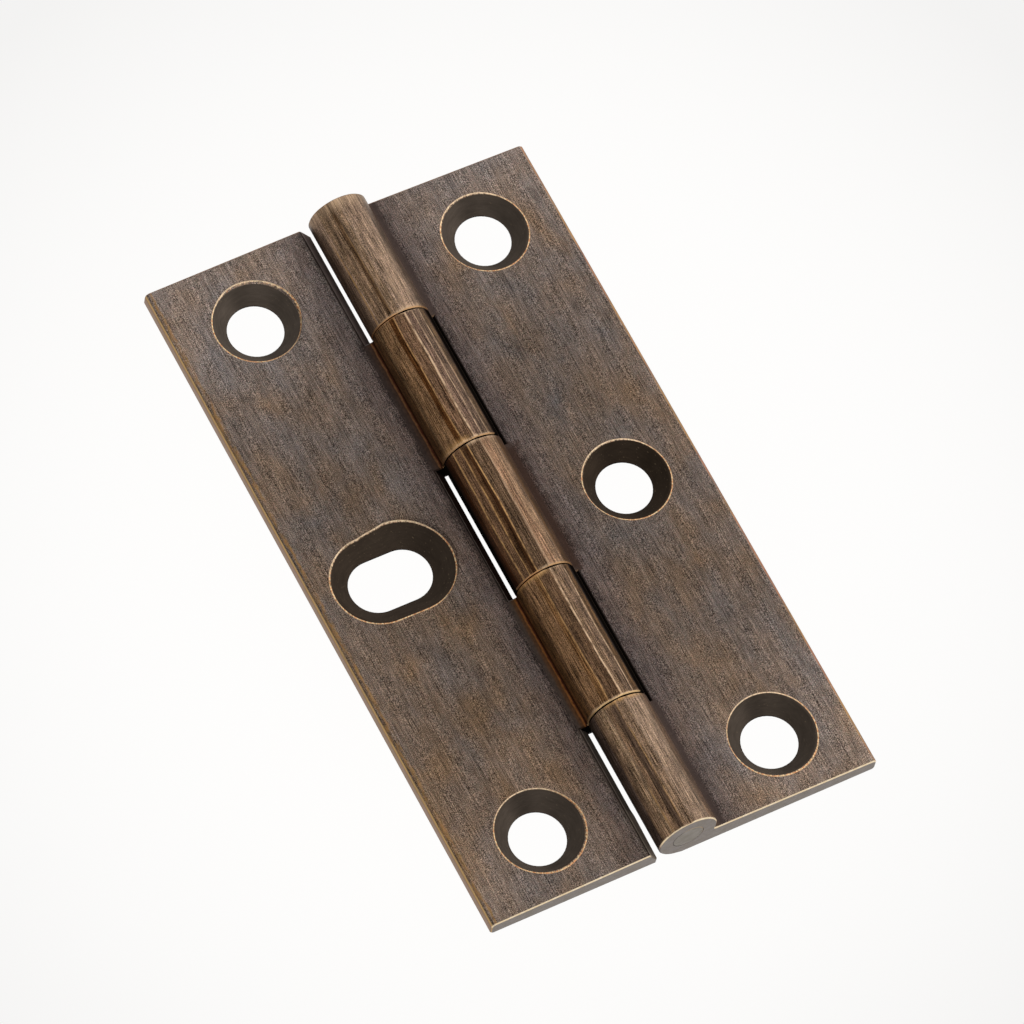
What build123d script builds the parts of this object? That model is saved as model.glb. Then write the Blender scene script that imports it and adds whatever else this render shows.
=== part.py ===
from build123d import *
import math
import os

os.makedirs("parts", exist_ok=True)

# Solid-drawn butt hinge, lying open on its back.
# X runs across both leaves, Y along the pin, Z up out of the back plane.
# The pin's axis stands over x = 0, and mid-length is y = 0.  Millimetres.

# --- leaves ---------------------------------------------------------------
length = 76.2            # along the pin
leaf_reach = 21.5        # pin axis to a leaf's outer edge
root_x = 4.2             # where the leaf's root thickness is stated
root_t = 2.34            # thickness at the root
taper = 0.028            # fall of the top face per mm outwards
outer_r_top = 0.55       # rounding of the long outer edge, top
outer_r_back = 0.45      # rounding of the long outer edge, back
end_break = 0.12         # edge break round the sawn ends

# --- barrel ---------------------------------------------------------------
barrel_r = 3.2
axis_z = 3.3             # the barrel stands 0.1 clear of the back plane
web_x = 0.3              # the flat back runs this far past the axis
corner_r = 0.2           # concave corner between leaf top and barrel
joints_y = (23.8, 8.1, -7.6, -23.1)   # middles of the four knuckle joints
joint_gap = 0.10
# Room for the other leaf's knuckles: a slope milled off the leaf's inner edge,
# its top corner eased, and a lip squared off below it.
slope_top = 4.03         # where the slope leaves the top face
slope_rise = 1.59        # height gained per mm outwards
slope_at = (2.72, 0.26)  # a point it passes through
slope_ease = 0.25
lip_height = 1.2         # how high the squaring-off cut goes
# The lips in plan, as (y, distance from the axis).  The left leaf's were
# milled one by one, and the nearest one has a step where the cut was restarted.
lips_right = (((8.05, 2.80), (23.85, 2.80)), ((-23.15, 2.80), (-7.55, 2.80)))
lips_left = (
    ((23.75, 2.70), (38.1, 2.70)),
    ((-7.65, 2.81), (8.15, 2.75)),
    ((-38.1, 3.08), (-33.0, 2.86), (-32.2, 2.97), (-23.05, 2.91)),
)
knuckle_break = 0.13     # edge break on the knuckles' ends
# Narrow flats left along the barrel by linishing: the angles, in degrees up
# from +X about the pin's axis, of the corners between them.
flats_right = (145, 127, 110, 84)
flats_left = (61, 76, 90, 114)

# --- pin ------------------------------------------------------------------
pin_r = 1.69
pin_break = 0.06
running_clearance = 0.05  # radial, in the leaf with two knuckles

# --- screw holes ----------------------------------------------------------
hole_r = 2.91            # through radius
rim_r = 4.455            # countersink radius at the top face
land = 0.15              # straight wall left at the back
rim_break = 0.07
right_x = 13.25
right_ys = (30.5, -0.4, -31.3)
left_x = -12.6
left_ys = (30.6, -31.05)
slot_x, slot_y = -12.95, 0.0
slot_half = 1.50         # half the distance between the slot's end centres
slot_rim_r = 4.87
# The slot's inner end was countersunk again, a little off its centre.
slot_again = (-11.40, 0.20, 5.15)
slot_again_foot = 2.66
# A light second touch of the countersink, off-centre: x, y, radius.
second_touch = (-12.54, 30.68, 4.60)
touch_slope = 2.4        # radius lost per mm of depth


def top_z(x):
    return root_t - taper * (abs(x) - root_x)


def section():
    """The drawn section of the right leaf: plate, web and barrel in one outline."""
    y0 = -length / 2

    def v(x, z):
        return Vector(x, y0, z)

    # tangent from the end of the flat back to the free side of the barrel
    d = math.hypot(web_x, axis_z)
    t = math.sqrt(d * d - barrel_r**2)
    ang = math.atan2(axis_z, web_x) + math.asin(barrel_r / d)
    tx, tz = -web_x + t * math.cos(ang), t * math.sin(ang)
    # concave corner: a small arc tangent to the leaf's top line and the barrel
    slope = math.atan(taper)
    off = corner_r / math.cos(slope)
    x = barrel_r
    for _ in range(60):
        z = top_z(x) + off
        x = math.sqrt((barrel_r + corner_r) ** 2 - (z - axis_z) ** 2)
    cx, cz = x, top_z(x) + off
    k = barrel_r / (barrel_r + corner_r)
    on_barrel = (cx * k, axis_z + (cz - axis_z) * k)
    on_leaf = (cx - corner_r * math.sin(slope), cz - corner_r * math.cos(slope))
    a0 = math.atan2(on_barrel[1] - cz, on_barrel[0] - cx)
    a1 = math.atan2(on_leaf[1] - cz, on_leaf[0] - cx)
    if a0 > 0:
        a0 -= 2 * math.pi
    am = (a0 + a1) / 2
    mid_corner = (cx + corner_r * math.cos(am), cz + corner_r * math.sin(am))
    b0 = math.atan2(tz - axis_z, tx)
    b1 = math.atan2(on_barrel[1] - axis_z, on_barrel[0])
    if b0 < b1:
        b0 += 2 * math.pi
    bm = (b0 + b1) / 2
    mid_barrel = (barrel_r * math.cos(bm), axis_z + barrel_r * math.sin(bm))
    # rounded long edge
    xo, zo = leaf_reach, top_z(leaf_reach)
    rt, rb = outer_r_top, outer_r_back
    h = math.sqrt(0.5)
    ct = (xo - rt, top_z(xo - rt) - rt / math.cos(slope))
    top_tan = (ct[0] + rt * math.sin(slope), ct[1] + rt * math.cos(slope))
    cb = (xo - rb, rb)
    edges = [
        Edge.make_line(v(cb[0], 0), v(-web_x, 0)),
        Edge.make_line(v(-web_x, 0), v(tx, tz)),
        Edge.make_three_point_arc(v(tx, tz), v(*mid_barrel), v(*on_barrel)),
        Edge.make_three_point_arc(v(*on_barrel), v(*mid_corner), v(*on_leaf)),
        Edge.make_line(v(*on_leaf), v(*top_tan)),
        Edge.make_three_point_arc(
            v(*top_tan), v(ct[0] + rt * h, ct[1] + rt * h), v(xo, ct[1])
        ),
        Edge.make_line(v(xo, ct[1]), v(xo, cb[1])),
        Edge.make_three_point_arc(
            v(xo, cb[1]), v(cb[0] + rb * h, cb[1] - rb * h), v(cb[0], 0)
        ),
    ]
    return Face(Wire(edges))


def along_y(radius, y0, y1, z=axis_z):
    return Pos(0, (y0 + y1) / 2, z) * Rot(90, 0, 0) * Cylinder(radius, abs(y1 - y0))


def notch(lip, side):
    """Room for a knuckle of the other leaf: a slope with its foot squared off."""
    y0, y1 = lip[0][0], lip[-1][0]
    x, z = slope_at
    low, high = -1.0, 4.0
    profile = [
        (-6, low), (x + (low - z) / slope_rise, low),
        (x + (high - z) / slope_rise, high), (6, 8), (-6, 8),
    ]
    face = Face(Wire.make_polygon([Vector(side * a, y0, b) for a, b in profile], close=True))
    cut = Part() + Solid.extrude(face, Vector(0, y1 - y0, 0))
    plan = [(-6, y0)] + [(a, b) for b, a in lip] + [(-6, y1)]
    face = Face(Wire.make_polygon([Vector(side * a, b, -1) for a, b in plan], close=True))
    return cut + Solid.extrude(face, Vector(0, 0, 1 + lip_height))


def ease_slopes(leaf):
    """Round the corner where each slope leaves the top face."""
    x = slope_at[0] + (top_z(slope_top) - slope_at[1]) / slope_rise
    corners = []
    for e in leaf.edges():
        m = e.position_at(0.5)
        if e.length > 5 and abs(abs(m.X) - x) < 0.03 and abs(m.Z - top_z(x)) < 0.03:
            corners.append(e)
    return fillet(corners, slope_ease)


def cone_at(x, y, r0, r1, z0, z1):
    """A cone through radius r0 at z0 and r1 at z1, run on above the top face."""
    top = root_t + 1.0
    r2 = r0 + (r1 - r0) * (top - z0) / (z1 - z0)
    return Pos(x, y, (z0 + top) / 2) * Cone(r0, r2, top - z0)


def screw_hole(x, y):
    bore = Pos(x, y, 0) * Cylinder(hole_r, 4)
    return bore + cone_at(x, y, hole_r, rim_r, land, top_z(x))


def slot_hole(x, y):
    """A countersunk slot, long across the leaf."""
    z1 = top_z(x)
    top = root_t + 1.0
    r2 = hole_r + (slot_rim_r - hole_r) * (top - land) / (z1 - land)
    body = None
    for s in (-1, 1):
        end = Pos(x + s * slot_half, y, 0) * Cylinder(hole_r, 4)
        end += cone_at(x + s * slot_half, y, hole_r, slot_rim_r, land, z1)
        body = end if body is None else body + end
    pts = [
        (y - hole_r, -2), (y + hole_r, -2), (y + hole_r, land),
        (y + r2, top), (y - r2, top), (y - hole_r, land),
    ]
    x0 = x - slot_half
    face = Face(Wire.make_polygon([Vector(x0, a, b) for a, b in pts], close=True))
    body += Solid.extrude(face, Vector(2 * slot_half, 0, 0))
    ax, ay, ar = slot_again
    return body + cone_at(ax, ay, slot_again_foot, ar, land, z1)


def touch():
    """The second touch on one hole's rim: a flat cone square to the top face."""
    x, y, r = second_touch
    h = 0.3
    tilt = -math.degrees(math.atan(taper))
    cone = Cone(r - touch_slope * h, r + touch_slope * h, 2 * h)
    return Pos(x, y, top_z(x)) * Rot(0, tilt, 0) * cone


def at_y(edge, y):
    return all(abs(edge.position_at(t).Y - y) < 1e-4 for t in (0, 0.37, 1))


def break_ends(leaf):
    """Break the sawn ends."""
    ends = [e for e in leaf.edges() if at_y(e, length / 2) or at_y(e, -length / 2)]
    return chamfer(ends, end_break)


def break_knuckles(leaf, side):
    """Break the ends of the knuckles at the joints."""
    half = joint_gap / 2
    rims = []
    for e in leaf.edges():
        m = e.position_at(0.5)
        for j in joints_y:
            if at_y(e, j + half) or at_y(e, j - half):
                r = math.hypot(m.X, m.Z - axis_z)
                on_barrel = abs(r - barrel_r) < 0.02
                on_slope = -side * m.X > 0.2 and m.Z < 0.3 + 1e-6
                if on_barrel or on_slope:
                    rims.append(e)
    return chamfer(rims, knuckle_break)


def linished(leaf, corners):
    """Take the round off the barrel between each pair of corners."""
    for a, b in zip(corners, corners[1:]):
        half_angle = math.radians(abs(b - a)) / 2
        deep = 0.4
        out = barrel_r * math.cos(half_angle) + deep / 2
        wide = 2 * barrel_r * math.sin(half_angle) + 0.4
        cut = Rot(0, -(a + b) / 2, 0) * Pos(out, 0, 0) * Box(deep, 2 * length, wide)
        leaf -= Pos(0, 0, axis_z) * cut
    return leaf


def bored(leaf, radius):
    return leaf - along_y(radius, -length, length)


def break_rims(leaf):
    """Take the sharp corner off each countersink where it meets the top face."""
    rims = []
    for e in leaf.edges():
        m = e.position_at(0.5)
        inside = 7 < abs(m.X) < leaf_reach - 2 and abs(m.Y) < length / 2 - 1
        if inside and all(abs(p.Z - top_z(p.X)) < 1e-3 for p in (m, e.position_at(0.1), e.position_at(0.9))):
            rims.append(e)
    return chamfer(rims, rim_break)


half = joint_gap / 2
j = joints_y
full = Solid.extrude(section(), Vector(0, length, 0))

# right leaf: knuckles at both ends and in the middle
right = Part() + full
for lip in lips_right:
    right -= notch(lip, 1)
right = break_knuckles(right, 1)
right = ease_slopes(right)
right = break_ends(right)
right = linished(right, flats_right)
right = bored(right, pin_r)
for y in right_ys:
    right -= screw_hole(right_x, y)
right = break_rims(right)

# left leaf: the two knuckles between them
left = Part() + full.mirror(Plane.YZ)
for lip in lips_left:
    left -= notch(lip, -1)
left = break_knuckles(left, -1)
left = ease_slopes(left)
left = break_ends(left)
left = linished(left, flats_left)
left = bored(left, pin_r + running_clearance)
for y in left_ys:
    left -= screw_hole(left_x, y)
left -= slot_hole(slot_x, slot_y)
left = break_rims(left)
left -= touch()

# pin, ground flush with the end knuckles
pin = along_y(pin_r, -length / 2, length / 2)
pin = chamfer(pin.edges().filter_by(GeomType.CIRCLE), pin_break)

for node, shape in (
    ("three_knuckle_leaf", right),
    ("two_knuckle_leaf", left),
    ("hinge_pin", pin),
):
    solids = shape.solids()
    print(node, len(solids), "solid(s)", round(sum(s.volume for s in solids), 2), "mm3")
    export_step(solids[0], f"parts/{node}.step")
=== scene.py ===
import math

import bpy
from mathutils import Matrix, Vector

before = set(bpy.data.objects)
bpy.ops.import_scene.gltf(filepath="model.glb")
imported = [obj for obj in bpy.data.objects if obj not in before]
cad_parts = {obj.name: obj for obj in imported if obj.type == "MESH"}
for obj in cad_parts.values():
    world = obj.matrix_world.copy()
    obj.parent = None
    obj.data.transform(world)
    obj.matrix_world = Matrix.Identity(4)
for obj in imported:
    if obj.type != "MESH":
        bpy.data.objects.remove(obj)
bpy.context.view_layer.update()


# ---------------------------------------------------------------------------
# sizes, in millimetres, as the hinge is drawn
# ---------------------------------------------------------------------------
HALF_LENGTH = 38.1
REACH = 21.5
AXIS_Z = 3.3
BARREL_R = 3.2
JOINTS = (23.8, 8.1, -7.6, -23.1)
RIM_R = 4.455
SLOT_RIM_R = 4.87
RIGHT_HOLES = ((13.25, 30.5), (13.25, -0.4), (13.25, -31.3))
LEFT_HOLES = ((-12.6, 30.6), (-12.6, -31.05))
SLOT = (-12.95, 0.0, 1.5)
SLOT_AGAIN = (-11.40, 0.20, 5.15)


def srgb(r, g, b):
    def one(v):
        v /= 255.0
        return v / 12.92 if v <= 0.04045 else ((v + 0.055) / 1.055) ** 2.4

    return (one(r), one(g), one(b))


# ---------------------------------------------------------------------------
# a small kit for wiring shader nodes
# ---------------------------------------------------------------------------
class Net:
    def __init__(self, name):
        self.mat = bpy.data.materials.new(name)
        self.mat.use_nodes = True
        self.tree = self.mat.node_tree
        self.tree.nodes.clear()
        self.out = self.tree.nodes.new("ShaderNodeOutputMaterial")

    def node(self, kind, **settings):
        n = self.tree.nodes.new(kind)
        for k, v in settings.items():
            setattr(n, k, v)
        return n

    def put(self, socket, value):
        if value is None:
            return
        if isinstance(value, bpy.types.NodeSocket):
            self.tree.links.new(value, socket)
        elif isinstance(value, tuple) and socket.type == "RGBA" and len(value) == 3:
            socket.default_value = (*value, 1.0)
        else:
            socket.default_value = value

    def math(self, op, a, b=None, c=None, clamp=False):
        n = self.node("ShaderNodeMath", operation=op, use_clamp=clamp)
        for s, v in zip(n.inputs, (a, b, c)):
            self.put(s, v)
        return n.outputs[0]

    def add(self, a, b):
        return self.math("ADD", a, b)

    def sub(self, a, b):
        return self.math("SUBTRACT", a, b)

    def mul(self, a, b):
        return self.math("MULTIPLY", a, b)

    def top(self, a, b):
        return self.math("MAXIMUM", a, b)

    def low(self, a, b):
        return self.math("MINIMUM", a, b)

    def map(self, x, a, b, to_a=0.0, to_b=1.0, kind="SMOOTHSTEP"):
        n = self.node("ShaderNodeMapRange", interpolation_type=kind)
        if a > b:
            a, b, to_a, to_b = b, a, to_b, to_a
        for s, v in zip(n.inputs, (x, a, b, to_a, to_b)):
            self.put(s, v)
        return n.outputs[0]

    def vec(self, x=0.0, y=0.0, z=0.0):
        n = self.node("ShaderNodeCombineXYZ")
        for s, v in zip(n.inputs, (x, y, z)):
            self.put(s, v)
        return n.outputs[0]

    def noise(self, vector, scale=1.0, detail=2.0, rough=0.5, warp=0.0):
        n = self.node("ShaderNodeTexNoise", noise_dimensions="3D")
        self.put(n.inputs["Vector"], vector)
        n.inputs["Scale"].default_value = scale
        n.inputs["Detail"].default_value = detail
        n.inputs["Roughness"].default_value = rough
        n.inputs["Distortion"].default_value = warp
        return n.outputs[0]

    def mix(self, fac, a, b, mode="MIX"):
        n = self.node("ShaderNodeMix", data_type="RGBA", blend_type=mode)
        n.clamp_factor = True
        self.put(n.inputs[0], fac)
        self.put(n.inputs[6], a)
        self.put(n.inputs[7], b)
        return n.outputs[2]

    def scaled(self, colour, k):
        """colour times a number."""
        n = self.node("ShaderNodeVectorMath", operation="SCALE")
        self.put(n.inputs[0], colour)
        self.put(n.inputs[3], k)
        return n.outputs[0]


# ---------------------------------------------------------------------------
# stage: floor, backdrop, lights, camera
# ---------------------------------------------------------------------------
# the pale floor lies this far below the hinge, so that a leaf can swing down
DROP = 0.75
FLOOR_MIDDLE = (0.251516, 0.302947)   # where the camera's line past the origin meets it


def glow(name, colour, strength, fall=None):
    """An even glow, or one that falls by fall between 58 and 150 mm from the middle."""
    net = Net(name)
    e = net.node("ShaderNodeEmission")
    e.inputs["Color"].default_value = (*colour, 1.0)
    e.inputs["Strength"].default_value = strength
    if fall is not None:
        where = net.node("ShaderNodeTexCoord").outputs["Object"]
        across = net.node("ShaderNodeVectorMath", operation="DOT_PRODUCT")
        along = net.node("ShaderNodeVectorMath", operation="DOT_PRODUCT")
        net.put(across.inputs[0], where)
        net.put(along.inputs[0], where)
        across.inputs[1].default_value = (882.0, -458.0, 0.0)
        along.inputs[1].default_value = (365.0, 813.0, 0.0)
        ax, ay = across.outputs["Value"], along.outputs["Value"]
        r = net.math("SQRT", net.add(net.mul(ax, ax), net.mul(ay, ay)))
        t = net.map(r, 58.5, 150.5, kind="LINEAR")
        net.put(e.inputs["Strength"], net.sub(strength, net.mul(net.mul(t, t), fall)))
    net.tree.links.new(e.outputs[0], net.out.inputs["Surface"])
    return net.mat


def add_stage():
    # a round floor with a low rim, level with the hinge, that closes it off to the horizon
    count, radius = 128, 1.98
    ring = [(radius * math.cos(math.tau * i / count) - FLOOR_MIDDLE[0],
             radius * math.sin(math.tau * i / count) - FLOOR_MIDDLE[1]) for i in range(count)]
    verts = [(x, y, 0.0) for x, y in ring] + [(x, y, DROP) for x, y in ring]
    faces = [tuple(range(count))] + [(i, (i + 1) % count, count + (i + 1) % count, count + i) for i in range(count)]
    mesh = bpy.data.meshes.new("floor")
    mesh.from_pydata(verts, [], faces)
    mesh.update()
    floor = bpy.data.objects.new("floor", mesh)
    floor.location = (*FLOOR_MIDDLE, -DROP)
    bpy.context.scene.collection.objects.link(floor)
    mesh.materials.append(glow("floor_white", (1.0, 0.993, 0.984), 0.993, 0.093))
    floor.visible_shadow = False
    bpy.ops.mesh.primitive_uv_sphere_add(segments=96, ring_count=48, radius=2.15, location=(0, 0, 0))
    dome = bpy.context.object
    dome.name = "backdrop"
    for p in dome.data.polygons:
        p.use_smooth = True
    dome.data.materials.append(glow("backdrop_white", (1.0, 0.99, 0.975), 0.90))
    dome.visible_diffuse = dome.visible_glossy = dome.visible_transmission = False
    dome.visible_shadow = False


def softbox(name, direction, distance, size, power, colour=(1, 1, 1)):
    data = bpy.data.lights.new(name, "AREA")
    data.shape = "RECTANGLE"
    data.size, data.size_y = size
    data.energy = power
    data.color = colour
    o = bpy.data.objects.new(name, data)
    d = Vector(direction).normalized()
    o.location = d * distance
    o.rotation_mode = "QUATERNION"
    o.rotation_quaternion = d.to_track_quat("Z", "Y")
    o.visible_camera = False
    bpy.context.scene.collection.objects.link(o)


def add_lights():
    """A light tent, brighter overhead and to the right, and one large softbox."""
    world = bpy.data.worlds.new("light_tent")
    world.use_nodes = True
    t = world.node_tree
    back = t.nodes["Background"]
    back.inputs["Color"].default_value = (1, 1, 1, 1)
    where = t.nodes.new("ShaderNodeTexCoord")
    dot = t.nodes.new("ShaderNodeVectorMath")
    dot.operation = "DOT_PRODUCT"
    dot.inputs[1].default_value = (0.86, 0.10, 0.50)
    fall = t.nodes.new("ShaderNodeMapRange")
    fall.interpolation_type = "SMOOTHSTEP"
    for i, v in ((1, -1.0), (2, 1.0), (3, 0.45), (4, 1.15)):
        fall.inputs[i].default_value = v
    t.links.new(where.outputs["Generated"], dot.inputs[0])
    t.links.new(dot.outputs["Value"], fall.inputs[0])
    t.links.new(fall.outputs[0], back.inputs["Strength"])
    bpy.context.scene.world = world
    softbox("side", (0.90, 0.30, 0.62), 1.0, (0.8, 0.9), 1.5)


def add_camera():
    data = bpy.data.cameras.new("camera")
    data.sensor_fit = "HORIZONTAL"
    data.sensor_width = 36.0
    data.lens = 274.263
    data.clip_start, data.clip_end = 0.05, 20.0
    cam = bpy.data.objects.new("camera", data)
    right = Vector((0.88172151, -0.45841346, 0.11146430))
    up = Vector((0.36518485, 0.81277410, 0.45391440))
    back = Vector((-0.29867577, -0.35952101, 0.88404605))
    m = Matrix.Identity(4)
    for i, axis in enumerate((right, up, back)):
        for k in range(3):
            m[k][i] = axis[k]
    m.translation = Vector((-0.23072885, -0.27790941, 0.68801761))
    cam.matrix_world = m
    bpy.context.scene.collection.objects.link(cam)
    bpy.context.scene.camera = cam


# ---------------------------------------------------------------------------
# antique bronze on brass
# ---------------------------------------------------------------------------
LIGHT = 1.2   # how bright the tent makes a level metal surface; the tones below are as seen
DULL = 0.95   # the same for a dull surface


def tone(r, g, b, light=LIGHT):
    return tuple(v / light for v in srgb(r, g, b))


class Bronze(Net):
    """The shared fields of one leaf: places in millimetres, masks and grain."""

    def __init__(self, name, side, seed):
        super().__init__(name)
        self.side = side
        tc = self.node("ShaderNodeTexCoord")
        mm = self.node("ShaderNodeVectorMath", operation="SCALE")
        self.put(mm.inputs[0], tc.outputs["Object"])
        mm.inputs[3].default_value = 1000.0
        self.p = mm.outputs[0]
        xyz = self.node("ShaderNodeSeparateXYZ")
        self.put(xyz.inputs[0], self.p)
        self.x, self.y, self.z = xyz.outputs
        nrm = self.node("ShaderNodeSeparateXYZ")
        self.put(nrm.inputs[0], tc.outputs["Normal"])
        self.nx, self.ny, self.nz = nrm.outputs
        self.u = self.mul(self.x, float(side))
        self.ay = self.math("ABSOLUTE", self.y)
        self.end_on = self.math("ABSOLUTE", self.ny)
        self.seed = seed
        # round the pin's axis
        self.dz = self.sub(self.z, AXIS_Z)
        self.rho = self.math("SQRT", self.add(self.mul(self.x, self.x), self.mul(self.dz, self.dz)))
        turn = self.mul(self.math("ARCTAN2", self.dz, self.x), 180.0 / math.pi)
        self.angle = self.add(turn, self.mul(self.math("LESS_THAN", turn, -90.0), 360.0))

    def field(self, ax, ay, az, detail=2.0, rough=0.5, shift=0.0, warp=0.0):
        """Noise with one cell ax, ay and az millimetres long."""
        n = self.node("ShaderNodeVectorMath", operation="MULTIPLY_ADD")
        self.put(n.inputs[0], self.p)
        n.inputs[1].default_value = (1.0 / ax, 1.0 / ay, 1.0 / az)
        s = self.seed + shift
        n.inputs[2].default_value = (s * 1.7, s * 2.3 + 11.0, s * 3.1 - 7.0)
        return self.noise(n.outputs[0], 1.0, detail, rough, warp)

    def centred(self, f, gain):
        """(f - 0.5) * gain"""
        return self.math("MULTIPLY_ADD", f, gain, -0.5 * gain)

    def hole_distance(self, x, y, half=0.0):
        dx = self.sub(self.x, x)
        if half:
            dx = self.math("MAXIMUM", self.sub(self.math("ABSOLUTE", dx), half), 0.0)
        dy = self.sub(self.y, y)
        return self.math("SQRT", self.add(self.mul(dx, dx), self.mul(dy, dy)))

    def hull_distance(self, x0, y0, r0, x1, y1, r1):
        """Distance outside the outline that spans two circles, seen from above."""
        t = self.map(self.x, x0, x1, kind="LINEAR")
        cx = self.math("MULTIPLY_ADD", t, x1 - x0, x0)
        cy = self.math("MULTIPLY_ADD", t, y1 - y0, y0)
        r = self.math("MULTIPLY_ADD", t, r1 - r0, r0)
        dx, dy = self.sub(self.x, cx), self.sub(self.y, cy)
        return self.sub(self.math("SQRT", self.add(self.mul(dx, dx), self.mul(dy, dy))), r)

    def band(self, v, centre, width, soft):
        """1 within width of centre, falling to 0 over soft."""
        d = self.math("ABSOLUTE", self.sub(v, centre))
        return self.map(d, width + soft, width)

    def line(self, v, centre, width):
        d = self.math("ABSOLUTE", self.sub(v, centre))
        return self.map(d, width, 0.0)

    def both(self, *masks):
        m = masks[0]
        for k in masks[1:]:
            m = self.mul(m, k)
        return m

    def between(self, v, a, b, soft):
        return self.both(self.map(v, a - soft, a + soft), self.map(v, b + soft, b - soft))


def facets(n, angle, corners, tones, soft=1.8):
    """Tones of the barrel's flats, from the lowest angle up."""
    col = tones[0]
    for a, t in zip(corners, tones[1:]):
        col = n.mix(n.map(angle, a - soft, a + soft), col, t)
    return col


UMBER = tone(40, 27, 18)
# near-black, matte: painted shade for faces in the gaps and notches
SHADE_BLACK = tone(12, 10, 8, DULL)


def leaf_material(name, side, seed):
    n = Bronze(name, side, seed)
    right = side > 0

    # ---- grain -------------------------------------------------------------
    grain = n.field(0.068, 0.078, 0.068, detail=0.0)
    grit = n.field(0.19, 0.30, 0.19, detail=1.0, shift=1)
    hair = n.field(0.060, 2.6, 0.060, detail=0.0, shift=3)
    hair2 = n.field(0.070, 0.9, 0.070, detail=1.0, shift=4)
    brush = n.field(0.24, 6.0, 0.24, detail=1.0, rough=0.6, shift=5)
    cloud = n.field(0.9, 1.3, 0.9, detail=2.0, rough=0.7, shift=7)
    patch = n.field(5.0, 7.5, 5.0, detail=3.0, rough=0.7, shift=9, warp=0.3)
    hue = n.field(4.2, 7.0, 4.2, detail=3.0, rough=0.5, shift=13, warp=0.3)
    hue2 = n.field(0.30, 0.50, 0.30, detail=2.0, rough=0.7, shift=17)
    hue3 = n.field(0.14, 0.22, 0.14, detail=0.0, shift=19)
    fleck = n.field(0.16, 0.28, 0.16, detail=1.0, shift=21)

    # ---- leaf top ----------------------------------------------------------
    cool = tone(95, 88, 85)
    mid = tone(100, 87, 78)
    warm = tone(106, 86, 68)
    if right:
        drift = n.map(n.y, 12, -20, -0.05, 0.04)
    else:
        drift = n.add(n.map(n.y, 26, -4, -0.12, 0.10), n.map(n.y, -4, -20, 0.0, 0.13))
        drift = n.add(drift, n.map(n.y, -29, -36, 0.0, -0.24))
    h = n.add(n.add(n.centred(hue, 1.9), 0.5), n.add(n.centred(hue2, 0.10), drift))
    col = n.mix(n.map(h, 0.0, 0.5, kind="LINEAR"), cool, mid)
    col = n.mix(n.map(h, 0.5, 1.0, kind="LINEAR"), col, warm)
    # paler towards the ends and the long outer edge
    ends = n.map(n.ay, 16.0, 40.0)
    outer = n.map(n.u, 13.0, 22.0)
    lift = n.add(n.add(1.03, n.mul(ends, 0.50)), n.mul(outer, 0.22))
    if right:
        lift = n.add(lift, n.map(n.y, -26, -36, 0.0, 0.12))
    else:
        lift = n.add(n.add(lift, n.map(n.y, 10, 26, 0.0, 0.18)), n.map(n.y, -29, -37, 0.0, -0.14))
    col = n.scaled(col, lift)
    # painted shade: cooler and darker beside the barrel, where the barrel shades the leaf top
    beside_barrel_shade = n.map(n.add(n.u, n.centred(patch, 2.5)), 9.0, 4.6)
    col = n.mix(n.mul(beside_barrel_shade, 0.72), col, tone(88, 77, 74) if right else tone(84, 73, 70))
    # painted shade: a darker band on the leaf top along the root of the barrel
    wander = n.centred(cloud, 1.0)
    middle = n.between(n.add(n.y, n.mul(wander, 2.0)), -7.4, 7.8, 0.5)
    if right:
        root = n.map(n.add(n.u, wander), 5.3, 4.0)
        root = n.top(root, n.both(middle, n.map(n.add(n.u, n.mul(wander, 1.6)), 5.5, 4.4)))
        beside = n.top(n.between(n.y, 8.1, 23.8, 0.1), n.between(n.y, -23.1, -7.6, 0.1))
        root_shade_tone = n.mix(beside, n.mix(middle, tone(66, 56, 53), tone(58, 45, 40)), tone(71, 62, 59))
    else:
        root = n.map(n.add(n.u, wander), 5.2, 4.0)
        root_shade_tone = n.mix(n.map(n.y, -22.9, -23.3), tone(49, 41, 38), n.mix(n.map(n.y, -31, -34), tone(73, 65, 59), tone(88, 79, 71)))
        root_shade_tone = n.mix(n.map(n.y, 23.5, 24.1), root_shade_tone, tone(83, 76, 72))
    root = n.mul(root, n.map(n.nz, -0.6, -0.1))
    col = n.mix(n.mul(root, 0.88), col, root_shade_tone)
    # grain over it
    k = n.centred(grain, 4.0)
    k = n.add(k, n.centred(grit, 0.28))
    k = n.add(k, n.centred(hair, 1.7))
    k = n.add(k, n.centred(hair2, 0.62))
    k = n.add(k, n.centred(brush, 0.42))
    k = n.add(k, n.centred(cloud, 0.72))
    k = n.add(k, n.centred(patch, 0.60))
    k = n.math("POWER", n.top(n.math("MULTIPLY_ADD", k, 0.5, 0.961), 0.3), 2.0)
    # fine specks of another hue
    speck = n.node("ShaderNodeVectorMath", operation="MULTIPLY")
    n.put(speck.inputs[0], col)
    n.put(speck.inputs[1], n.vec(n.add(1.0, n.centred(hue3, 0.24)), 1.0, n.add(1.0, n.centred(hue2, 0.24))))
    top = n.scaled(speck.outputs[0], k)

    # ---- barrel ------------------------------------------------------------
    wob = n.field(2.5, 9.0, 2.5, detail=1.0, shift=31)
    a = n.add(n.add(n.angle, n.centred(wob, 8.0)), n.centred(cloud, 1.2))
    rub = n.field(0.11, 2.6, 0.11, detail=2.0, rough=0.6, shift=33)
    rub2 = n.field(0.42, 6.0, 0.42, detail=2.0, rough=0.6, shift=35)
    gold_seen = n.field(0.4, 1.3, 0.4, detail=3.0, rough=0.7, shift=37)

    def knuckle(y0, y1):
        return n.both(n.map(n.y, y0 - 0.02, y0 + 0.02), n.map(n.y, y1 + 0.02, y1 - 0.02))

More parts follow.
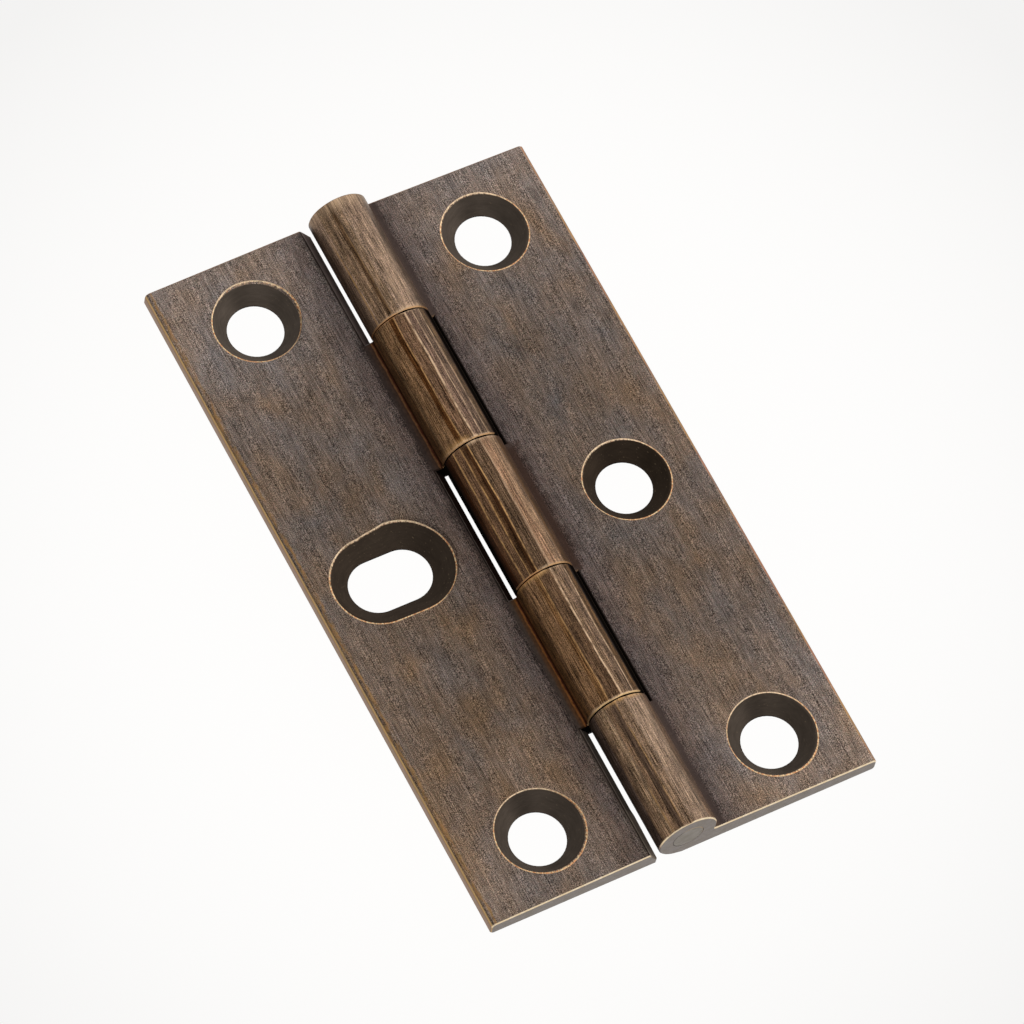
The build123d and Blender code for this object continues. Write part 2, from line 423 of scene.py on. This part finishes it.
    if right:
        c1 = facets(n, a, (50, 84, 97, 111, 118, 142, 152), (
            tone(136, 111, 90), tone(151, 126, 105), tone(138, 115, 96), tone(126, 103, 82),
            tone(96, 72, 51), tone(143, 116, 91), tone(170, 141, 118), tone(152, 126, 105)))
        c3 = facets(n, a, (50, 70, 86, 109.5, 118, 126, 146, 157, 166), (
            tone(118, 84, 51), tone(151, 121, 94), tone(151, 118, 92), tone(97, 76, 58),
            tone(62, 38, 20), tone(95, 68, 46), tone(124, 94, 70), tone(112, 77, 51), tone(75, 37, 8), tone(47, 16, 4)))
        c5 = facets(n, a, (50, 88, 104, 118, 127, 136, 157), (
            tone(158, 128, 103), tone(148, 124, 103), tone(128, 104, 83), tone(90, 71, 56),
            tone(132, 104, 80), tone(169, 140, 111), tone(159, 129, 101), tone(131, 113, 103)))
        is1, is5 = n.map(n.y, 23.7, 23.9), n.map(n.y, -23.0, -23.2)
        bar = n.mix(is1, n.mix(is5, c3, c5), c1)
    else:
        # the lowest tone of c2 and c4, below 47 degrees, is a painted shade of the flank facing the other leaf's notch
        c2 = facets(n, a, (47, 54, 61, 76, 90, 113, 124, 152, 160), (
            tone(53, 36, 27), tone(103, 79, 56), tone(97, 76, 56), tone(92, 74, 61), tone(108, 86, 72),
            tone(115, 88, 67), tone(87, 55, 29), tone(142, 109, 78), tone(139, 110, 79), tone(145, 109, 74)))
        c4 = facets(n, a, (47, 54, 61, 76, 88, 114, 124, 158), (
            tone(24, 13, 10), tone(108, 79, 50), tone(84, 62, 41), tone(101, 81, 65), tone(112, 90, 71),
            tone(96, 73, 54), tone(120, 87, 56), tone(139, 106, 76), tone(154, 116, 77)))
        bar = n.mix(n.map(n.y, 0.1, -0.1), c2, c4)

    # the underside, plain
    lower_side = n.map(n.angle, 200, 214) if right else n.map(n.angle, 14, 2)
    bar = n.mix(lower_side, bar, tone(118, 94, 72))
    kb = n.centred(grain, 3.2)
    kb = n.add(kb, n.centred(grit, 0.5))
    kb = n.add(kb, n.centred(rub, 3.3))
    kb = n.add(kb, n.centred(rub2, 1.3))
    kb = n.add(kb, n.centred(hair, 2.2))
    kb = n.add(kb, n.centred(cloud, 0.5))
    kb = n.math("POWER", n.top(n.math("MULTIPLY_ADD", kb, 0.5, 0.955), 0.3), 2.0)
    bspeck = n.node("ShaderNodeVectorMath", operation="MULTIPLY")
    n.put(bspeck.inputs[0], bar)
    n.put(bspeck.inputs[1], n.vec(n.add(1.0, n.centred(hue3, 0.14)), 1.0, n.add(1.0, n.centred(hue2, -0.30))))
    bar = n.scaled(bspeck.outputs[0], kb)

    gold = tone(228, 178, 116)
    pale = tone(226, 192, 156)

    def corner(angle, width, y0, y1, strength, colour=gold, fade=1.2):
        m = n.both(n.line(a, angle, width),
                   n.map(n.y, y0 - fade, y0 + fade), n.map(n.y, y1 + fade, y1 - fade),
                   n.map(gold_seen, 0.34, 0.54, 0.20, 1.0), n.map(grit, 0.25, 0.55, 0.55, 1.0))
        return n.mix(n.mul(m, strength), bar_now[0], colour)

    bar_now = [bar]
    if right:
        lines = (
            (147, 2.6, 23.5, 34.0, 1.0, gold), (111, 2.0, 23.5, 36.0, 0.35, gold), (85, 2.6, 23.0, 29.0, 0.45, pale),
            (143, 2.4, -9, 9, 1.0, gold), (126, 2.2, -9, 9, 0.85, gold), (109.5, 2.2, -9, 9, 1.0, gold), (84.5, 2.6, -9, 9, 0.6, pale),
            (129, 2.8, -39, -33.0, 1.0, gold), (104, 2.2, -37, -23, 0.35, gold), (85, 2.6, -28, -22.5, 0.35, pale),
        )
    else:
        lines = (
            (90.5, 2.6, 8.0, 24.0, 1.0, pale), (76, 1.8, 8.0, 24.0, 0.5, pale), (61, 2.2, 8.0, 24.0, 0.5, pale), (113, 2.0, 8.0, 24.0, 0.6, gold),
            (88.5, 2.8, -23.1, -7.6, 0.85, pale), (114, 2.0, -23.1, -7.6, 0.65, gold), (62, 2.2, -23.1, -7.6, 0.5, pale),
        )
    for angle, width, y0, y1, strength, colour in lines:
        bar_now[0] = corner(angle, width, y0, y1, strength, colour)
    bar = bar_now[0]

    # the knuckles' rubbed ends
    def rub_end(y, toward, reach, strength, a0=30, a1=175, colour=pale):
        """A pale rub that fades over reach millimetres from the joint at y."""
        d = n.mul(n.sub(n.y, y), float(toward))
        m = n.both(n.map(n.add(d, n.centred(cloud, 0.5)), reach, 0.0), n.map(d, -0.02, 0.0),
                   n.map(n.angle, a0 - 8, a0 + 8), n.map(n.angle, a1 + 8, a1 - 8), n.map(rub, 0.30, 0.58, 0.35, 1.0))
        return n.mix(n.mul(m, strength), bar_now[0], colour)

    ends_of = (
        (23.84, 1, 0.7, 0.8, 45, 100), (23.84, 1, 0.35, 0.8, 60, 150), (38.1, -1, 1.8, 0.55, 30, 182),
        (8.06, -1, 0.55, 0.7, 45, 112), (-7.56, 1, 0.4, 0.7, 50, 105),
        (-23.14, -1, 0.6, 0.8, 45, 128, gold), (-38.1, 1, 0.25, 0.7, 30, 175),
    ) if right else (
        (23.76, -1, 0.22, 0.7, 60, 150), (8.14, 1, 1.0, 0.7, 100, 178, gold), (8.14, 1, 0.4, 0.85, 55, 178),
        (-7.64, -1, 0.7, 0.8, 95, 175, gold), (-7.64, -1, 0.3, 0.5, 50, 120), (-23.06, 1, 0.35, 1.0, 50, 178),
    )
    for row in ends_of:
        bar_now[0] = rub_end(*row)
    bar = bar_now[0]
    is_bar = n.map(n.rho, 3.42, 3.26)
    # painted shade: the barrel is darkened to 0.42 between 190 and 198 degrees, low on its flank where it meets the
    # crevice
    bar = n.scaled(bar, n.top(n.map(n.angle, 182, 190, 1.0, 0.42), n.map(n.angle, 198, 212, 0.42, 1.0)))
    col = n.mix(is_bar, top, bar)

    # the edge breaks at the joints: worn bright with a painted highlight on the near side, painted shade on the far
    by_joint = None
    for j in JOINTS:
        m = n.map(n.math("ABSOLUTE", n.sub(n.y, j)), 0.25, 0.22)
        by_joint = m if by_joint is None else n.top(by_joint, m)
    on_end = n.both(by_joint, n.map(n.rho, 2.8, 2.95))
    broken = n.both(on_end, n.map(n.end_on, 0.25, 0.35))
    worn_highlit_break = n.both(broken, n.map(n.ny, -0.1, -0.2), n.map(rub, 0.25, 0.55, 0.55, 1.0))
    shaded_break = n.both(broken, n.map(n.ny, 0.1, 0.2))
    if not right:
        # the middle leaf's far edges are worn on their lower half
        lit = n.mul(shaded_break, n.map(n.angle, 96, 108))
        shaded_break = n.mul(shaded_break, n.map(n.angle, 108, 96))
        col = n.mix(n.mul(lit, 0.9), col, tone(210, 160, 104))
    # worn brass with a painted highlight on the near edge breaks, brightest at the nearest joint
    col = n.mix(n.mul(worn_highlit_break, 0.9), col, n.mix(n.map(n.y, -22.0, -22.5), tone(226, 178, 128, 1.1), tone(255, 214, 156, 1.0)))

    # ---- concave root beside the barrel --------------------------------------
    # painted shade: the strip in the concave root by the barrel is darkened, the barrel shading it; on the left leaf a
    # thin orange line along it is a painted reflection of the barrel, and the darkest tone next to the barrel a painted
    # shade of the crevice
    if right:
        shaded_root_strip = n.both(n.map(n.u, 4.6, 4.2), n.map(n.rho, 3.15, 3.25), n.map(n.z, 1.9, 2.2), n.sub(1.0, beside))
        strip = n.mix(n.map(n.u, 3.3, 4.1), tone(92, 74, 62), tone(66, 55, 51))
        strip = n.mix(middle, strip, n.mix(n.map(n.u, 3.3, 3.9), tone(84, 62, 48), tone(58, 43, 36)))
        col = n.mix(n.mul(shaded_root_strip, 0.85), col, n.scaled(strip, n.add(1.0, n.centred(cloud, 0.35))))
    else:
        shaded_root_strip = n.both(n.map(n.u, 4.4, 4.0), n.map(n.rho, 3.18, 3.3), n.map(n.z, 1.9, 2.2))
        at = n.add(n.u, n.centred(gold_seen, 0.25))
        lower = n.map(n.y, 0.1, -0.1)
        strip = n.mix(n.map(at, 3.38, 3.50), n.mix(lower, tone(118, 84, 56), tone(140, 92, 50)), n.mix(lower, tone(66, 51, 43), tone(84, 60, 42)))
        strip = n.mix(n.map(at, 3.24, 3.33), tone(60, 30, 20), strip)
        strip = n.mix(n.map(at, 3.6, 4.0), strip, n.mix(lower, tone(56, 46, 42), tone(66, 56, 50)))
        col = n.mix(shaded_root_strip, col, n.scaled(strip, n.add(1.0, n.centred(grit, 0.9))))

    # ---- countersinks --------------------------------------------------------
    # place, half length, radius to the worn line, the side it is worn to, how
    # wide the line is there, and how dark the cone is
    holes = ((13.254, 30.429, 0.0, 4.450, -0.45, 0.89, 0.22, 0.35), (13.306, -0.483, 0.0, 4.475, -0.45, 0.89, 0.20, 1.0),
             (13.283, -31.328, 0.0, 4.493, -0.20, -0.98, 0.20, 0.50)) if right else (
            (-12.677, 30.607, 0.0, 4.424, 0.61, 0.79, 0.33, 0.25), (-12.615, -31.035, 0.0, 4.445, 0.70, -0.71, 0.27, 0.45),
            (SLOT[0] - 0.09, SLOT[1] - 0.18, SLOT[2], SLOT_RIM_R - 0.105, -0.35, 0.94, 0.20, 0.90))
    rim = None
    worn = None
    deep = 0.0
    for x, y, half, radius, ux, uy, wide, dark in holes:
        r = n.sub(n.hole_distance(x, y, half), radius)
        if half:
            r = n.hull_distance(x - half, y, radius, SLOT_AGAIN[0] - 0.09, SLOT_AGAIN[1] - 0.18, SLOT_AGAIN[2] - 0.105)
        # towards the worn side, 1; away from it, -1
        dot = n.add(n.mul(n.sub(n.x, x), ux / radius), n.mul(n.sub(n.y, y), uy / radius))
        reach = n.map(dot, 0.15, 0.85, 0.12, wide)
        # a worn line round the outside; speckled between it and the cone
        out = n.sub(n.add(r, n.centred(fleck, 0.10)), reach)
        line = n.both(n.map(out, 0.02, -0.02), n.map(out, -0.17, -0.12))
        fill = n.both(n.map(out, -0.10, -0.14), n.map(fleck, 0.44, 0.60, 0.05, 0.60), n.map(out, -0.32, -0.12, 0.3, 1.0))
        m = n.both(n.top(line, fill), n.map(r, -0.02, 0.02))
        # the far side of each worn line is marked here to be made paler below: a painted highlight
        f = n.both(m, line, n.map(n.sub(n.y, y), 1.5, 4.2))
        if rim is None:
            rim, worn, far = r, m, f
        else:
            rim, worn, far = n.low(rim, r), n.top(worn, m), n.top(far, f)
        deep = n.add(deep, n.mul(n.map(r, 0.4, 0.2), dark))
    sunk = tone(88, 79, 71, DULL)
    sunk2 = tone(52, 43, 35, DULL)
    swirl = n.field(0.8, 0.8, 0.12, detail=2.0, shift=41)
    dull_spot = n.field(1.8, 1.8, 0.6, detail=2.0, shift=43)
    cone = n.mix(deep, sunk, sunk2)
    cone = n.scaled(cone, n.add(1.0, n.add(n.centred(swirl, 0.45), n.centred(dull_spot, 0.45))))
    # painted light and shade: each cone wall is made lighter or darker by the way it faces
    cone = n.scaled(cone, n.add(n.map(n.ny, -0.30, -0.65, 0.90, 1.08), n.map(n.nx, -0.5, 0.6, -0.08, 0.14)))
    cone = n.mix(n.mul(n.both(n.map(fleck, 0.66, 0.74), n.map(swirl, 0.45, 0.6)), 0.6), cone, tone(120, 104, 84))
    in_cone = n.both(n.map(rim, 0.01, -0.02), n.map(n.nz, -0.9, -0.6))
    worn = n.both(worn, n.map(n.nz, 0.0, 0.3))
    col = n.mix(in_cone, col, cone)
    copper = n.mix(n.map(hue3, 0.35, 0.65), tone(206, 146, 102), tone(228, 200, 156))
    # painted highlight on the worn brass: the far side of each worn line is paler
    copper = n.mix(n.mul(far, 0.75), copper, tone(236, 212, 180))
    copper = n.scaled(copper, n.map(fleck, 0.30, 0.65, 0.62, 1.22))
    col = n.mix(worn, col, copper)

    # ---- long outer edge -------------------------------------------------------
    edge = n.sub(REACH, n.u)
    seen = n.field(0.5, 2.6, 0.5, detail=3.0, rough=0.65, shift=51)
    if right:
        flank = n.both(n.map(n.nx, 0.80, 0.93), n.map(edge, 0.12, 0.02))
        col = n.mix(n.mul(flank, 0.8), col, n.mix(n.map(seen, 0.35, 0.65), tone(128, 106, 86), tone(118, 98, 80)))
        # a golden band along the rounded edge: worn brass with a painted highlight
        m = n.both(n.map(edge, 0.42, 0.22), n.map(seen, 0.30, 0.55, 0.25, 1.0), n.map(n.z, 1.2, 1.6))
        tint = n.mix(n.map(hue, 0.4, 0.6), tone(176, 122, 92), tone(184, 140, 88))
        col = n.mix(m, col, tint)
    else:
        flank = n.both(n.map(n.nx, -0.80, -0.93), n.map(edge, 0.12, 0.02))
        col = n.mix(flank, col, n.mix(n.map(seen, 0.35, 0.65), tone(146, 116, 84), tone(152, 118, 96)))
        # a bright line on the rounded edge: a painted highlight on worn brass; inside it an ochre worn band
        col = n.mix(n.both(n.line(edge, 0.10, 0.10), n.map(seen, 0.2, 0.5, 0.6, 1.0)), col, tone(214, 176, 118))
        where = n.add(n.add(edge, n.centred(cloud, 0.5)), n.centred(seen, 0.5))
        ochre = n.both(n.band(where, 0.47, 0.12, 0.20), n.map(seen, 0.40, 0.60, 0.10, 1.0), n.map(grit, 0.2, 0.5, 0.4, 1.0))
        col = n.mix(n.mul(ochre, 0.75), col, n.mix(n.map(hue2, 0.4, 0.6), tone(152, 118, 70), tone(160, 118, 74)))

    # ---- sawn ends ---------------------------------------------------------------
    from_end = n.sub(HALF_LENGTH, n.ay)
    face = n.map(n.end_on, 0.90, 0.97)
    flat_end = n.both(face, n.map(from_end, 0.03, 0.01))
    dull = n.field(1.2, 1.2, 0.5, detail=2.0, shift=61)
    end_col = n.mix(n.map(dull, 0.35, 0.65), tone(134, 124, 118), tone(128, 117, 106))
    end_col = n.scaled(end_col, n.add(1.0, n.centred(grit, 0.35)))
    col = n.mix(flat_end, col, end_col)
    # the end bevels: worn edges, with a painted highlight at the near end and painted shade at the far end
    bevel = n.both(n.map(from_end, 0.135, 0.11), n.map(from_end, 0.0, 0.012),
                   n.map(n.end_on, 0.35, 0.6))
    near = n.map(n.y, 1, -1)
    near_bevel_highlight = n.mix(n.map(seen, 0.3, 0.6), tone(250, 232, 202, 1.08), tone(238, 214, 176, 1.08))
    far_bevel_shade = n.mix(n.map(seen, 0.35, 0.6), tone(116, 80, 48), tone(150, 100, 58))
    bevel_col = n.mix(near, far_bevel_shade, near_bevel_highlight)
    upper = n.map(n.nz, 0.0, 0.3)
    col = n.mix(n.mul(bevel, upper), col, bevel_col)

    # ---- the notches' slopes, the joints and the back --------------------------
    # painted shade: the notches' slopes are painted dark for the shade in the notches
    low_side = n.both(n.map(n.u, 4.06, 3.96), n.map(n.u, 1.5, 2.2), n.map(n.z, 2.36, 2.28),
                      n.map(n.nz, -0.3, 0.0), n.map(n.rho, 3.5, 3.6), n.map(n.end_on, 0.9, 0.7))
    if right:
        slope_tone_and_shade = tone(18, 14, 12, DULL)
        opposite = n.top(n.between(n.y, 8.05, 23.85, 0.01), n.between(n.y, -23.15, -7.55, 0.01))
    else:
        # on the left leaf the slope's tones grow darker further down into the cove: painted shade
        down = n.map(n.add(n.u, n.centred(hair2, 0.25)), 3.92, 3.78)
        deeper = n.map(n.u, 3.9, 3.0)
        far_slope = n.mix(down, tone(128, 116, 112, DULL), n.mix(deeper, tone(112, 99, 94, DULL), tone(84, 74, 70, DULL)))
        mid_slope = n.mix(down, tone(106, 93, 86, DULL), tone(41, 29, 24, DULL))
        near_slope = n.mix(down, tone(134, 121, 112, DULL), tone(84, 76, 69, DULL))
        last_slope = n.mix(down, tone(152, 139, 126, DULL), tone(112, 101, 91, DULL))
        near_slope = n.mix(n.map(n.y, -32.4, -33.0), near_slope, last_slope)
        slope_tone_and_shade = n.mix(n.map(n.y, 15.8, 15.6), far_slope, n.mix(n.map(n.y, -15.5, -15.7), mid_slope, near_slope))
        opposite = n.top(n.map(n.y, 23.74, 23.76), n.top(n.between(n.y, -7.65, 8.15, 0.01), n.map(n.y, -23.04, -23.06)))
    slope = n.both(low_side, opposite)
    # painted shade: the end walls in the notches and at the joints, near-black
    cut = n.both(n.map(n.end_on, 0.7, 0.95), n.map(from_end, 0.5, 1.0))
    col = n.mix(slope, col, n.scaled(slope_tone_and_shade, n.add(1.0, n.centred(cloud, 0.7))) if not right else slope_tone_and_shade)
    col = n.mix(cut, col, SHADE_BLACK)
    under = n.map(n.nz, -0.6, -0.9)
    col = n.mix(n.mul(under, 0.6), col, tone(80, 70, 62))
    if right:
        # painted shade: the middle knuckle's flank on the slit's side, between 175 and 194 degrees
        gap = n.both(is_bar, n.map(n.angle, 163, 175), n.map(n.angle, 210, 194), n.between(n.y, -7.6, 8.1, 0.05))
        col = n.mix(gap, col, SHADE_BLACK)
    else:
        # painted shade: the flank of the two knuckles facing the other leaf's notch, near-black above 28 degrees, dark
        # brown below 20
        gap = n.both(is_bar, n.map(n.angle, 46, 40), n.map(n.angle, 4, 16))
        col = n.mix(gap, col, n.mix(n.map(n.angle, 20, 28), tone(58, 43, 31), tone(14, 11, 9)))
        gap = n.both(gap, n.map(n.angle, 20, 28))
    # painted shade: the far edge breaks are made near-black
    col = n.mix(shaded_break, col, SHADE_BLACK)

    # ---- shader ----------------------------------------------------------------
    matte = n.top(n.top(slope, cut), n.top(gap, n.mul(n.both(in_cone, n.sub(1.0, worn)), 0.85)))
    matte = n.top(matte, shaded_break)
    b = n.node("ShaderNodeBsdfPrincipled")
    n.put(b.inputs["Base Color"], col)
    n.put(b.inputs["Metallic"], n.sub(1.0, matte))
    b.inputs["Specular IOR Level"].default_value = 0.0
    rough = n.math("MULTIPLY_ADD", cloud, 0.16, 0.34)
    rough = n.add(rough, n.centred(hair2, 0.12))
    rough = n.add(rough, n.mul(matte, 0.35))
    rough = n.math("MINIMUM", n.math("MAXIMUM", rough, 0.2), 0.85)
    n.put(b.inputs["Roughness"], rough)
    bump = n.node("ShaderNodeBump")
    bump.inputs["Strength"].default_value = 0.35
    bump.inputs["Distance"].default_value = 0.00002
    relief = n.add(n.mul(hair2, 0.5), n.mul(cloud, 0.8))
    n.put(bump.inputs["Height"], relief)
    n.put(b.inputs["Normal"], bump.outputs[0])
    n.tree.links.new(b.outputs[0], n.out.inputs["Surface"])
    return n.mat


def pin_material(name):
    n = Bronze(name, 1, 5.0)
    dull = n.field(0.9, 0.9, 0.5, detail=3.0, shift=1)
    turned = n.field(0.12, 2.0, 0.12, detail=2.0, shift=2)
    grit = n.field(0.19, 0.30, 0.19, detail=1.0, shift=3)
    face = n.map(n.end_on, 0.90, 0.97)
    body = n.scaled(tone(96, 80, 62), n.add(1.0, n.centred(turned, 0.8)))
    end_col = n.mix(n.map(dull, 0.35, 0.65), tone(136, 127, 117), tone(128, 119, 106))
    end_col = n.scaled(end_col, n.add(1.0, n.centred(grit, 0.3)))
    col = n.mix(face, body, end_col)
    brk = n.both(n.map(n.end_on, 0.2, 0.4), n.map(n.end_on, 0.95, 0.85), n.map(n.sub(HALF_LENGTH, n.ay), 0.2, 0.12))
    # painted highlight and shade on the pin's end break: pale where it faces up and to the right, dark elsewhere
    lit = n.map(n.add(n.nx, n.nz), 0.15, 0.6)
    col = n.mix(brk, col, n.mix(lit, tone(48, 41, 35), tone(196, 168, 128)))
    b = n.node("ShaderNodeBsdfPrincipled")
    n.put(b.inputs["Base Color"], col)
    b.inputs["Metallic"].default_value = 1.0
    n.put(b.inputs["Roughness"], n.math("MULTIPLY_ADD", dull, 0.2, 0.3))
    n.tree.links.new(b.outputs[0], n.out.inputs["Surface"])
    return n.mat


def dress(node, material):
    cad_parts[node].data.materials[0] = material


dress("three_knuckle_leaf", leaf_material("bronze_right", 1, 1.0))
dress("two_knuckle_leaf", leaf_material("bronze_left", -1, 2.0))
dress("hinge_pin", pin_material("bronze_pin"))
add_stage()
add_lights()
add_camera()
bpy.context.scene.view_settings.view_transform = "Standard"
